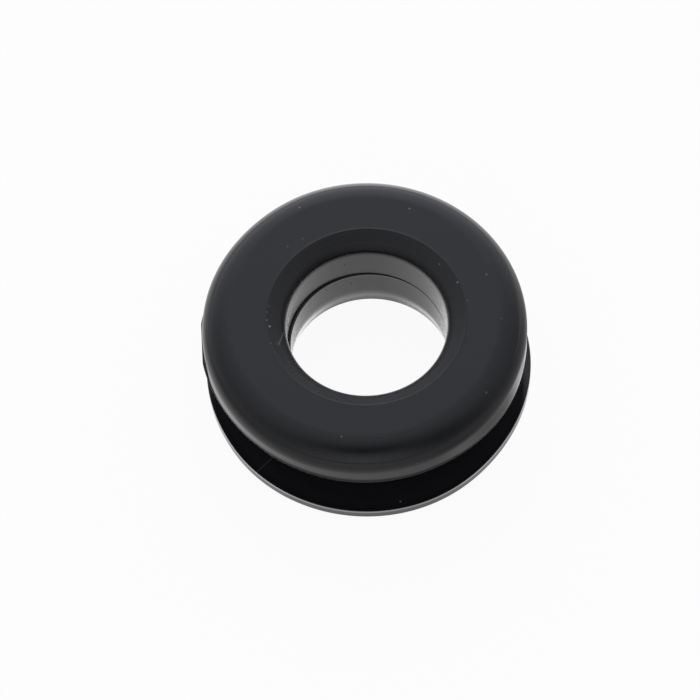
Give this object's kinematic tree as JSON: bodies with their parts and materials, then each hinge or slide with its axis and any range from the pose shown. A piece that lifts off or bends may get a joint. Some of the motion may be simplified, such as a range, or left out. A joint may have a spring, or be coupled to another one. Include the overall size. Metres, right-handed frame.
{
  "type": "rubber grommet",
  "caption": "Moulded rubber grommet that snaps into a panel hole and lines it for a cable: thick rounded flange, panel groove, thin flange and a countersunk bore.",
  "frame": {"origin": "centre of the thin flange's bottom face, on that flange's axis", "axes": "+Z from the thin flange to the thick flange, along the bore; X and Y in the flanges' plane, and the thick flange's offset from the thin one is towards -X"},
  "size_m": [0.0204, 0.0204, 0.0074],
  "materials": {
    "rubber": "smooth moulded black rubber with a soft satin sheen, from polished mould faces"
  },
  "bodies": {
    "root": {"grommet": "rubber"}
  },
  "joints": []
}
